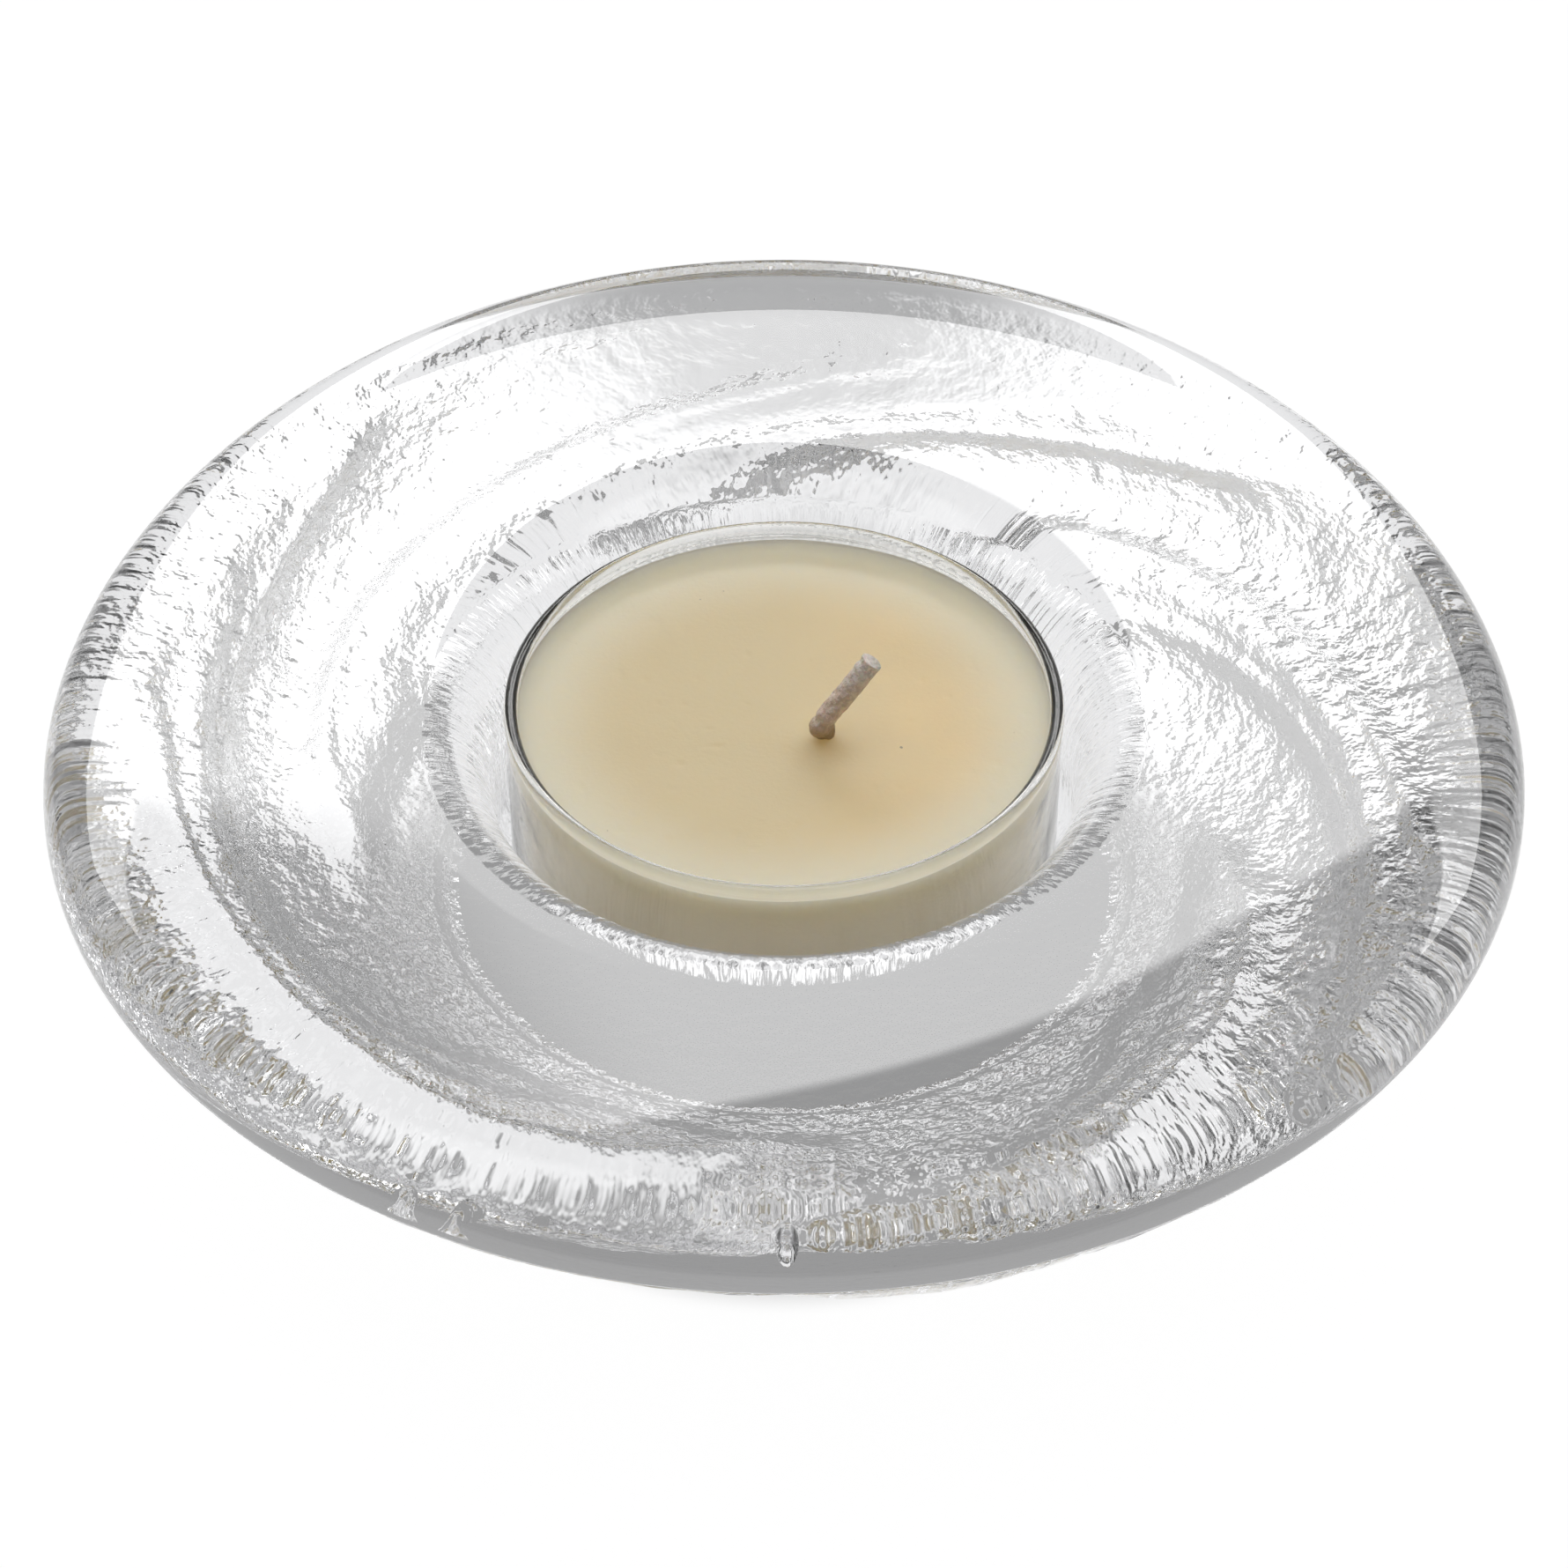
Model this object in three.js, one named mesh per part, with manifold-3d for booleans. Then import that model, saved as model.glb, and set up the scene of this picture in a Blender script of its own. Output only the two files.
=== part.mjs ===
// Tealight holder: a thick cast-glass disc with a round well, and the tealight that stands in the well.
// The pieces are the glass holder, the clear cup, the wax, the wick and the wick's metal foot.
// Millimetres, +Z up. The origin is the middle of the glass base, on the surface that it stands on.
import * as THREE from 'three';
import { mergeVertices } from 'three/addons/utils/BufferGeometryUtils.js';
import Module from 'manifold-3d';

// ---- driving dimensions: glass holder ----
const DISC_RADIUS = 53;          // widest circle of the rim
const GLASS_HEIGHT = 30;         // base to the inner edge of the top ring
const BASE_RADIUS = 23.4;        // flat, ground base
const FOOT_ROUND = 1.6;          // rounding between the base and the underside
const WIDEST_SHARE = 0.83;       // height of the widest circle, as a share of the glass height
const RIM_WIDTH = 6.5;           // from the widest circle in to the nearly flat top ring
const RING_FALL = 0.27;          // how much the ring's dome falls by its outer edge
const LIP_WIDTH = 5.1;           // radial width of the rounded lip at the front
const LIP_EXTRA_WIDTH = 5.5;     // how much wider the lip rounding is at the back
const LIP_DROP = 7;              // height of the rounded lip
const RIM_SLOPE = 0.12;          // slope with which the rim falls from the ring at the front
const CREST_RISE = 0.5;          // how far the rim's crest at the back stands above the ring's outer edge
const CREST_SHARE = 0.3;         // where the crest is, as a share of the rim's width from outside
const CREST_REACH = 0.35;        // how long the crest stays level, as a share of its way to the ring
const CREST_SLOPE = 0.15;        // slope with which the rim climbs from the ring at the back
const RIM_SQUARENESS = 0.62;     // how square the rim's shoulder is; 0.55 is a round one
const BOWL_FLATNESS = 0.48;      // the underside's curve: how far out it stays shallow
const BOWL_RISE = 0.31;          // how high it is there, as a share of its whole rise
const BOWL_FULLNESS = 0.97;      // how far out it reaches below the rim
const BOWL_SHOULDER = 0.83;      // and how high it is there
const FLOOR_FILLET = 2;          // fillet between the well's wall and its floor
const FLOOR_THICKNESS = 15.5;    // glass under the well

// ---- driving dimensions: swirl relief on the underside ----
const ARM_COUNT = 4;
const ARM_DEPTH = 3.2;           // deepest point of a channel
const ARM_SWEEP = 1.75;          // radians that a channel turns from its inner end to the rim
const ARM_START = 1.22;          // bearing of the first channel's inner end
const ARM_INSET = 4.6;           // how far outside the base the channels begin
const ARM_SHARPNESS = 1.6;       // above 1, channels are narrower than the ridges between them
const ARM_INNER_FADE = 0.14;     // share of a channel's length over which it starts
const ARM_OUTER_FADE = 0.14;     // share over which it runs out at the widest circle

// ---- driving dimensions: tealight ----
const CUP_RADIUS = 20;
const CUP_HEIGHT = 16.3;
const CUP_WALL = 0.7;
const CUP_BEAD = 0.3;            // how much thicker the rolled rim is than the wall
const CUP_BEAD_HEIGHT = 0.6;
const CUP_CORNER = 1.2;          // rounding of the cup's foot
const CUP_FLOOR = 0.7;
const CUP_DRAFT = 0.5;           // how much narrower the cup is at its foot
const WAX_BELOW_RIM = 1.8;
const WAX_EDGE_RISE = 0.3;       // wax that climbs the cup's wall
const WAX_EDGE_WIDTH = 0.8;
const WAX_MOUND = 0.7;           // wax that climbs the wick
const WAX_MOUND_RADIUS = 3.4;
const WICK_RADIUS = 0.85;
const WICK_OFFSET_X = 2.9;       // the wick stands a little off the cup's middle
const WICK_OFFSET_Y = -2.0;
const WICK_RISE = 7.2;           // wick above the wax
const WICK_LEAN = 3.4;           // how far its tip leans sideways
const WICK_KINK = 0.7;           // sideways kink just above the wax
const WICK_KINK_SHARE = 0.2;     // where the kink is, as a share of the bare wick
const WICK_BEND_SHARE = 0.5;     // where the wick starts to lean
const WICK_BEND_LEAN = 0.3;      // how much of the lean it has by there
const FOOT_RADIUS = 6.2;
const FOOT_THICKNESS = 0.4;
const NECK_WALL = 0.35;
const NECK_HEIGHT = 4;

// ---- clearances ----
const WELL_CLEARANCE = 0.75;     // radial play of the tealight in the well
const SEAT_GAP = 0.3;            // between pieces that touch

// ---- how finely round shapes are divided ----
const DISC_SEGMENTS = 96;
const CUP_SEGMENTS = 64;
const SMALL_SEGMENTS = 20;
const WICK_SIDES = 10;
const WICK_STEPS = 26;
const UNDERSIDE_STEPS = 15;
const RIM_STEPS = 6;
const CREST_STEPS = 3;
const RING_STEPS = 2;
const LIP_STEPS = 6;
const FILLET_STEPS = 3;
const MERGE_DISTANCE = 1e-4;

// ---- derived places ----
const wellRadius = CUP_RADIUS + WELL_CLEARANCE;
const wellFloor = FLOOR_THICKNESS;
const footEdge = BASE_RADIUS + FOOT_ROUND;
const widestHeight = WIDEST_SHARE * GLASS_HEIGHT;
const ringOuterRadius = DISC_RADIUS - RIM_WIDTH;
const armInnerRadius = BASE_RADIUS + ARM_INSET;
const ringEdgeHeight = GLASS_HEIGHT - RING_FALL;
const cupBase = wellFloor + SEAT_GAP;
const cupTop = cupBase + CUP_HEIGHT;
const waxTop = cupTop - WAX_BELOW_RIM;
const waxBase = cupBase + CUP_FLOOR + SEAT_GAP;
const footTop = waxBase + FOOT_THICKNESS;
const neckTop = waxBase + NECK_HEIGHT;
const boreRadius = WICK_RADIUS + SEAT_GAP;
const rimHalf = (CUP_WALL + CUP_BEAD) / 2;

const FINISH = {
  glass: { color: 0xe9edf0, roughness: 0.03, metalness: 0, transparent: true, opacity: 0.45 },
  cup: { color: 0xe4e3da, roughness: 0.08, metalness: 0, transparent: true, opacity: 0.5 },
  wax: { color: 0xdbcba6, roughness: 0.45, metalness: 0 },
  wick: { color: 0xc0a084, roughness: 0.75, metalness: 0 },
  foot: { color: 0xb9bcc0, roughness: 0.35, metalness: 1 },
};

/** A named mesh with its own material. */
function piece(name, geometry, finish) {
  const mesh = new THREE.Mesh(geometry, new THREE.MeshStandardMaterial(finish));
  mesh.name = name;
  return mesh;
}

/** Points along a cubic curve in the radius-height plane, without its first point. */
function bend(from, handleA, handleB, to, steps) {
  const at = ([radius, height]) => new THREE.Vector2(radius, height);
  const curve = new THREE.CubicBezierCurve(at(from), at(handleA), at(handleB), at(to));
  return curve.getPoints(steps).slice(1);
}

/** Points of a quarter round without its first point; it leaves level, or else it leaves upright. */
function quarterRound(from, to, steps, leavesLevel) {
  const points = [];
  for (let step = 1; step <= steps; step += 1) {
    const turn = (step / steps) * (Math.PI / 2);
    const early = Math.sin(turn);
    const late = 1 - Math.cos(turn);
    const along = THREE.MathUtils.lerp(from[0], to[0], leavesLevel ? early : late);
    const up = THREE.MathUtils.lerp(from[1], to[1], leavesLevel ? late : early);
    points.push(new THREE.Vector2(along, up));
  }
  return points;
}

/** A solid turned about +Z from [radius, height] points; each row of its vertices follows the section. */
function turned(section, segments) {
  const points = section.map((point) => (point.isVector2 ? point : new THREE.Vector2(...point)));
  const geometry = new THREE.LatheGeometry(points, segments);
  geometry.rotateX(Math.PI / 2);
  return geometry;
}

/** Joins the vertices that share a place, so that the faces are one closed surface. */
function closed(geometry) {
  geometry.deleteAttribute('normal');
  geometry.deleteAttribute('uv');
  const joined = mergeVertices(geometry, MERGE_DISTANCE);
  joined.computeVertexNormals();
  return joined;
}

/** The underside's section, from the base's edge round its foot and out to the widest circle. */
function undersideSection() {
  const reach = DISC_RADIUS - footEdge;
  const rise = widestHeight - FOOT_ROUND;
  return [
    ...quarterRound([BASE_RADIUS, 0], [footEdge, FOOT_ROUND], FILLET_STEPS, true),
    ...bend(
      [footEdge, FOOT_ROUND],
      [footEdge + BOWL_FLATNESS * reach, FOOT_ROUND + BOWL_RISE * rise],
      [footEdge + BOWL_FULLNESS * reach, FOOT_ROUND + BOWL_SHOULDER * rise],
      [DISC_RADIUS, widestHeight],
      UNDERSIDE_STEPS,
    ),
  ];
}

/** The rim's section at the front, from the widest circle: it rounds over and falls from the ring. */
function plainRim() {
  const reach = RIM_SQUARENESS * RIM_WIDTH;
  return bend(
    [DISC_RADIUS, widestHeight],
    [DISC_RADIUS, widestHeight + RIM_SQUARENESS * (ringEdgeHeight - widestHeight)],
    [ringOuterRadius + reach, ringEdgeHeight - RIM_SLOPE * reach],
    [ringOuterRadius, ringEdgeHeight],
    RIM_STEPS + CREST_STEPS,
  );
}

/** The rim's section at the back, where a low crest stands above the ring; it has as many points. */
function crestedRim() {
  const inset = CREST_SHARE * RIM_WIDTH;
  const crest = [DISC_RADIUS - inset, ringEdgeHeight + CREST_RISE];
  const reach = CREST_REACH * (crest[0] - ringOuterRadius);
  return [
    ...bend(
      [DISC_RADIUS, widestHeight],
      [DISC_RADIUS, widestHeight + RIM_SQUARENESS * (crest[1] - widestHeight)],
      [crest[0] + RIM_SQUARENESS * inset, crest[1]],
      crest,
      RIM_STEPS,
    ),
    ...bend(
      crest,
      [crest[0] - reach, crest[1]],
      [ringOuterRadius + reach, ringEdgeHeight + CREST_SLOPE * reach],
      [ringOuterRadius, ringEdgeHeight],
      CREST_STEPS,
    ),
  ];
}

/** Points of the ring's gentle dome, level at its inner edge, from the outer edge inwards. */
function ringDome(innerRadius) {
  const points = [];
  for (let step = 1; step <= RING_STEPS; step += 1) {
    const share = step / RING_STEPS;
    const radius = THREE.MathUtils.lerp(ringOuterRadius, innerRadius, share);
    points.push(new THREE.Vector2(radius, GLASS_HEIGHT - RING_FALL * (1 - share) ** 2));
  }
  return points;
}

/** The section from the ring's outer edge over the lip to the middle of the well's floor. */
function wellSection(lipWidth) {
  const lipTop = [wellRadius + lipWidth, GLASS_HEIGHT];
  const wallFoot = [wellRadius, wellFloor + FLOOR_FILLET];
  return [
    ...ringDome(lipTop[0]),
    ...quarterRound(lipTop, [wellRadius, GLASS_HEIGHT - LIP_DROP], LIP_STEPS, true),
    new THREE.Vector2(...wallFoot),
    ...quarterRound(wallFoot, [wellRadius - FLOOR_FILLET, wellFloor], FILLET_STEPS, false),
    new THREE.Vector2(0, wellFloor),
  ];
}

/** Depth of the swirl relief at a bearing, and at a share of the way from the inner ends to the rim. */
function channelDepth(bearing, share) {
  const turnedTo = ARM_START - ARM_SWEEP * THREE.MathUtils.smootherstep(share, 0, 1);
  const wave = 0.5 + 0.5 * Math.cos(ARM_COUNT * (bearing - turnedTo));
  const innerEnd = THREE.MathUtils.smoothstep(share, 0, ARM_INNER_FADE);
  const outerEnd = 1 - THREE.MathUtils.smoothstep(share, 1 - ARM_OUTER_FADE, 1);
  return ARM_DEPTH * wave ** ARM_SHARPNESS * innerEnd * outerEnd;
}

/** The glass body: a turned disc whose rim and lip change towards the back, with the swirl underneath. */
function glassHolder() {
  const underside = [new THREE.Vector2(0, 0), new THREE.Vector2(BASE_RADIUS, 0), ...undersideSection()];
  const front = [...underside, ...plainRim(), ...wellSection(LIP_WIDTH)];
  const back = [...underside, ...crestedRim(), ...wellSection(LIP_WIDTH + LIP_EXTRA_WIDTH)];
  const geometry = turned(front, DISC_SEGMENTS);
  const position = geometry.attributes.position;
  const place = new THREE.Vector2();
  for (let index = 0; index < position.count; index += 1) {
    const row = index % front.length;
    const bearing = Math.atan2(position.getY(index), position.getX(index));
    const towardsBack = Math.max(0, Math.sin(bearing)) ** 2;
    place.lerpVectors(front[row], back[row], towardsBack);
    if (row < underside.length && place.x > armInnerRadius) {
      const share = (place.x - armInnerRadius) / (DISC_RADIUS - armInnerRadius);
      const depth = channelDepth(bearing, share);
      const steepness = (share * share * Math.PI) / 2;
      place.x -= depth * Math.sin(steepness);
      place.y += depth * Math.cos(steepness);
    }
    position.setXYZ(index, place.x * Math.cos(bearing), place.x * Math.sin(bearing), place.y);
  }
  return closed(geometry);
}

/** The clear moulded cup, with a slight draft and a thicker rolled rim. */
function tealightCup() {
  const footRadius = CUP_RADIUS - CUP_DRAFT;
  const beadBase = CUP_HEIGHT - CUP_BEAD_HEIGHT;
  const crown = [CUP_RADIUS - rimHalf, CUP_HEIGHT];
  const section = [
    [0, 0],
    [footRadius - CUP_CORNER, 0],
    ...quarterRound([footRadius - CUP_CORNER, 0], [footRadius, CUP_CORNER], FILLET_STEPS, true),
    ...quarterRound([CUP_RADIUS, beadBase], crown, FILLET_STEPS, false),
    ...quarterRound(crown, [CUP_RADIUS - 2 * rimHalf, beadBase], FILLET_STEPS, true),
    [CUP_RADIUS - CUP_WALL, beadBase - CUP_BEAD],
    [footRadius - CUP_WALL, CUP_FLOOR],
    [0, CUP_FLOOR],
  ];
  const geometry = turned(section, CUP_SEGMENTS);
  geometry.translate(0, 0, cupBase);
  return closed(geometry);
}

/** A plain cylinder about the wick's axis between two heights. */
function aboutWick(radius, bottom, top) {
  const geometry = turned([[0, bottom], [radius, bottom], [radius, top], [0, top]], SMALL_SEGMENTS);
  geometry.translate(WICK_OFFSET_X, WICK_OFFSET_Y, 0);
  return geometry;
}

/** The wax: it fills the cup, climbs the cup's wall and the wick, and is moulded round the wick's foot. */
async function waxFill() {
  const wasm = await Module();
  wasm.setup();
  const solid = (geometry) => {
    const joined = closed(geometry);
    const mesh = new wasm.Mesh({
      numProp: 3,
      vertProperties: joined.attributes.position.array,
      triVerts: joined.index.array,
    });
    return new wasm.Manifold(mesh);
  };
  const topRadius = CUP_RADIUS - CUP_WALL - SEAT_GAP;
  const bottomRadius = topRadius - CUP_DRAFT;
  const fill = solid(turned([
    [0, waxBase],
    [bottomRadius, waxBase],
    [topRadius, waxTop + WAX_EDGE_RISE],
    [topRadius - WAX_EDGE_WIDTH, waxTop],
    [0, waxTop],
  ], CUP_SEGMENTS));
  const moundGeometry = turned([
    [0, waxTop - WAX_MOUND],
    [WAX_MOUND_RADIUS, waxTop - WAX_MOUND],
    [WAX_MOUND_RADIUS, waxTop],
    ...quarterRound([WAX_MOUND_RADIUS, waxTop], [boreRadius, waxTop + WAX_MOUND], FILLET_STEPS, true),
    [0, waxTop + WAX_MOUND],
  ], SMALL_SEGMENTS);
  moundGeometry.translate(WICK_OFFSET_X, WICK_OFFSET_Y, 0);
  const cut = fill
    .add(solid(moundGeometry))
    .subtract(solid(aboutWick(boreRadius, waxBase - WAX_MOUND, waxTop + 2 * WAX_MOUND)))
    .subtract(solid(aboutWick(boreRadius + NECK_WALL + SEAT_GAP, waxBase - WAX_MOUND, neckTop + SEAT_GAP)))
    .subtract(solid(aboutWick(FOOT_RADIUS + SEAT_GAP, waxBase - WAX_MOUND, footTop + SEAT_GAP)))
    .getMesh();
  const geometry = new THREE.BufferGeometry();
  geometry.setAttribute('position', new THREE.BufferAttribute(cut.vertProperties, cut.numProp));
  geometry.setIndex(new THREE.BufferAttribute(cut.triVerts, 1));
  geometry.computeVertexNormals();
  return geometry;
}

/** The wick: upright inside the wax, kinked where it leaves it, then leaning to one side. */
function wick() {
  const bareFrom = waxTop + WAX_MOUND;
  const rise = WICK_RISE - WAX_MOUND;
  const route = new THREE.CatmullRomCurve3([
    new THREE.Vector3(0, 0, waxBase),
    new THREE.Vector3(0, 0, (waxBase + bareFrom) / 2),
    new THREE.Vector3(0, 0, bareFrom),
    new THREE.Vector3(-WICK_KINK / 2, -WICK_KINK, bareFrom + WICK_KINK_SHARE * rise),
    new THREE.Vector3(WICK_BEND_LEAN * WICK_LEAN, -WICK_KINK / 2, bareFrom + WICK_BEND_SHARE * rise),
    new THREE.Vector3(WICK_LEAN, WICK_KINK / 2, bareFrom + rise),
  ]);
  const round = new THREE.Shape().absarc(0, 0, WICK_RADIUS, 0, 2 * Math.PI);
  const geometry = new THREE.ExtrudeGeometry(round, {
    steps: WICK_STEPS,
    curveSegments: WICK_SIDES,
    extrudePath: route,
  });
  geometry.translate(WICK_OFFSET_X, WICK_OFFSET_Y, 0);
  return closed(geometry);
}

/** The stamped metal foot that holds the wick up: a thin disc with a neck round the wick. */
function wickFoot() {
  const neckRadius = boreRadius + NECK_WALL;
  const geometry = turned([
    [boreRadius, waxBase],
    [FOOT_RADIUS, waxBase],
    [FOOT_RADIUS, footTop],
    [neckRadius, footTop],
    [neckRadius, neckTop],
    [boreRadius, neckTop],
    [boreRadius, waxBase],
  ], SMALL_SEGMENTS);
  geometry.translate(WICK_OFFSET_X, WICK_OFFSET_Y, 0);
  return closed(geometry);
}

const holder = new THREE.Group();
holder.add(piece('glass_holder', glassHolder(), FINISH.glass));

const tealight = new THREE.Group();
tealight.add(piece('tealight_cup', tealightCup(), FINISH.cup));
tealight.add(piece('wax_fill', await waxFill(), FINISH.wax));
tealight.add(piece('wick', wick(), FINISH.wick));
tealight.add(piece('wick_foot', wickFoot(), FINISH.foot));
holder.add(tealight);

export default holder;
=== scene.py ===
"""A tealight holder: a cast-glass disc with a pressed swirl, and the clear-cup tealight in its well.

Lengths in this file are millimetres, and every mesh is scaled to metres when it is made.
"""
import logging
import math
from dataclasses import dataclass, field
from enum import Enum
from typing import Sequence

import bpy
import numpy as np
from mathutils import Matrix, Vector


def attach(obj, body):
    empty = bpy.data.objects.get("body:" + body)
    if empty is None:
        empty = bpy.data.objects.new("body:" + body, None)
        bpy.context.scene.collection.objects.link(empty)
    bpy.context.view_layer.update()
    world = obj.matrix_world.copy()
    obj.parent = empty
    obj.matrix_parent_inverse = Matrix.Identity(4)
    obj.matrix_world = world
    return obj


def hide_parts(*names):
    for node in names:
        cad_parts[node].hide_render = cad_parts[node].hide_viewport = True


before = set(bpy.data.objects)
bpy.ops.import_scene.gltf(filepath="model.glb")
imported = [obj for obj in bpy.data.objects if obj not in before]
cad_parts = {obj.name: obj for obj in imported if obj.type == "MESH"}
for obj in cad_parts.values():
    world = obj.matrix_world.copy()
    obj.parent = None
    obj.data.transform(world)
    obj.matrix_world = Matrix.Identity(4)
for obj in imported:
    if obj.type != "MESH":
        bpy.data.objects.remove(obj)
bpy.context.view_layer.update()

MM = 0.001
FULL_TURN = 2 * math.pi

logging.basicConfig(level=logging.INFO, format="%(levelname)s %(message)s")
log = logging.getLogger("tealight_holder")

Array = np.ndarray
Colour = tuple[float, float, float, float]


class Leaves(Enum):
    """Which way a quarter round sets off."""

    LEVEL = "level"
    UPRIGHT = "upright"


# ---------------------------------------------------------------- shapes


def smooth_rise(value: Array, low: float, high: float) -> Array:
    """Rises smoothly from 0 at low to 1 at high."""
    share = np.clip((value - low) / (high - low), 0.0, 1.0)
    return share * share * (3.0 - 2.0 * share)


def smoother_rise(value: Array) -> Array:
    """Rises from 0 to 1 over the same range, level at both ends to the second order."""
    share = np.clip(value, 0.0, 1.0)
    return share**3 * (share * (share * 6.0 - 15.0) + 10.0)


def bend(start: Sequence[float], handle_a: Sequence[float], handle_b: Sequence[float],
         end: Sequence[float], steps: int) -> Array:
    """Points of a cubic curve without its first point.

    Args:
        start: where the curve starts, as radius and height.
        handle_a: the handle that it leaves by.
        handle_b: the handle that it arrives by.
        end: where it ends.
        steps: how many points to return.

    Returns:
        An array of steps rows and two columns.
    """
    share = np.linspace(0.0, 1.0, steps + 1)[1:, None]
    rest = 1.0 - share
    knots = [np.asarray(point, float) for point in (start, handle_a, handle_b, end)]
    return (rest**3 * knots[0] + 3 * rest**2 * share * knots[1]
            + 3 * rest * share**2 * knots[2] + share**3 * knots[3])


def quarter_round(start: Sequence[float], end: Sequence[float], steps: int, leaves: Leaves) -> Array:
    """Points of a quarter round without its first point.

    Args:
        start: where it starts, as radius and height.
        end: where it ends.
        steps: how many points to return.
        leaves: whether it sets off level or upright.

    Returns:
        An array of steps rows and two columns.
    """
    turn = np.linspace(0.0, math.pi / 2, steps + 1)[1:]
    early, late = np.sin(turn), 1.0 - np.cos(turn)
    along, up = (early, late) if leaves is Leaves.LEVEL else (late, early)
    return np.stack([start[0] + (end[0] - start[0]) * along, start[1] + (end[1] - start[1]) * up], 1)


def straight(start: Sequence[float], end: Sequence[float], steps: int) -> Array:
    """Points of a straight line without its first point."""
    share = np.linspace(0.0, 1.0, steps + 1)[1:, None]
    return np.asarray(start, float) * (1.0 - share) + np.asarray(end, float) * share


def lattice_noise(points: Array, seed: int) -> Array:
    """Smooth noise from -1 to 1 on a unit lattice.

    Args:
        points: an array whose last axis is x, y and z, in lattice steps.
        seed: picks one of many patterns.

    Returns:
        One value for each point.
    """
    cell = np.floor(points).astype(np.int64)
    inside = points - cell
    weight = inside * inside * (3.0 - 2.0 * inside)
    total = np.zeros(points.shape[:-1])
    for corner in range(8):
        step = np.array([corner & 1, (corner >> 1) & 1, (corner >> 2) & 1])
        place = cell + step
        mixed = (place[..., 0] * 374761393 + place[..., 1] * 668265263
                 + place[..., 2] * 2147483647 + seed * 974634777) & 0x7FFFFFFF
        mixed = ((mixed ^ (mixed >> 13)) * 1274126177) & 0x7FFFFFFF
        mixed = mixed ^ (mixed >> 16)
        value = (mixed & 0xFFFF) / 32767.5 - 1.0
        share = np.where(step == 1, weight, 1.0 - weight).prod(-1)
        total += value * share
    return total


def mesh_piece(name: str, points: Array, faces: Sequence[Sequence[int]],
               smooth: bool = True) -> bpy.types.Object:
    """Makes a mesh object from points in millimetres.

    Args:
        name: the piece's name.
        points: an array of three columns.
        faces: the corners of each face.
        smooth: whether its faces are shaded smooth.

    Returns:
        The new object, linked to the scene.
    """
    mesh = bpy.data.meshes.new(name)
    mesh.from_pydata((points * MM).tolist(), [], [list(face) for face in faces])
    mesh.validate()
    if smooth:
        mesh.shade_smooth()
    piece = bpy.data.objects.new(name, mesh)
    bpy.context.scene.collection.objects.link(piece)
    return piece


def turned_faces(rows: int, segments: int, first: int = 0) -> list[list[int]]:
    """Quads of a grid of rows that each run once round an axis.

    Args:
        rows: how many rings there are.
        segments: how many points each ring has.
        first: the number of the grid's first point.

    Returns:
        The quads, facing out when the section runs out from the axis below and back to it above.
    """
    quads = []
    for row in range(rows - 1):
        low, high = first + row * segments, first + (row + 1) * segments
        for step in range(segments):
            after = (step + 1) % segments
            quads.append([low + step, low + after, high + after, high + step])
    return quads


def turned_solid(section: Array, segments: int) -> tuple[Array, list[list[int]]]:
    """A solid turned about the upright axis, with a middle point at each end.

    Args:
        section: radius and height, from the axis below to the axis above.
        segments: how many points each ring has.

    Returns:
        Its points and its faces.
    """
    bearing = np.arange(segments) * (FULL_TURN / segments)
    rings = section[1:-1]
    radius, height = rings[:, :1], rings[:, 1:]
    grid = np.stack([radius * np.cos(bearing), radius * np.sin(bearing),
                     np.broadcast_to(height, (len(rings), segments))], -1)
    return capped_grid(grid, (0.0, 0.0, section[0, 1]), (0.0, 0.0, section[-1, 1]))


def capped_grid(grid: Array, bottom: Sequence[float], top: Sequence[float]) -> tuple[Array, list[list[int]]]:
    """Closes a grid of rings with a fan of triangles at each end.

    Args:
        grid: rings, points round each ring, and x, y, z.
        bottom: the middle of the first fan.
        top: the middle of the last fan.

    Returns:
        Its points and its faces.
    """
    rows, segments = grid.shape[:2]
    points = np.concatenate([grid.reshape(-1, 3), [bottom, top]])
    faces = turned_faces(rows, segments)
    start, end = rows * segments, rows * segments + 1
    last = (rows - 1) * segments
    for step in range(segments):
        after = (step + 1) % segments
        faces.append([start, after, step])
        faces.append([end, last + step, last + after])
    return points, faces


# ---------------------------------------------------------------- the studio


@dataclass(frozen=True)
class StudioCamera:
    """A long lens above the front of the holder."""

    elevation: float = math.radians(42.0)
    distance: float = 1000.0
    lens: float = 320.6
    sensor: float = 36.0
    aim: tuple[float, float, float] = (0.0, 0.0, 24.26)

    def build(self) -> bpy.types.Object:
        """Makes the camera and sets it as the scene's own."""
        data = bpy.data.cameras.new("studio_camera")
        data.lens = self.lens
        data.sensor_width = self.sensor
        data.clip_end = 20.0
        camera = bpy.data.objects.new("studio_camera", data)
        target = Vector(self.aim) * MM
        back = Vector((0.0, -math.cos(self.elevation), math.sin(self.elevation)))
        camera.location = target + back * self.distance * MM
        camera.rotation_euler = (-back).to_track_quat("-Z", "Y").to_euler()
        bpy.context.scene.collection.objects.link(camera)
        bpy.context.scene.camera = camera
        return camera


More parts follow.
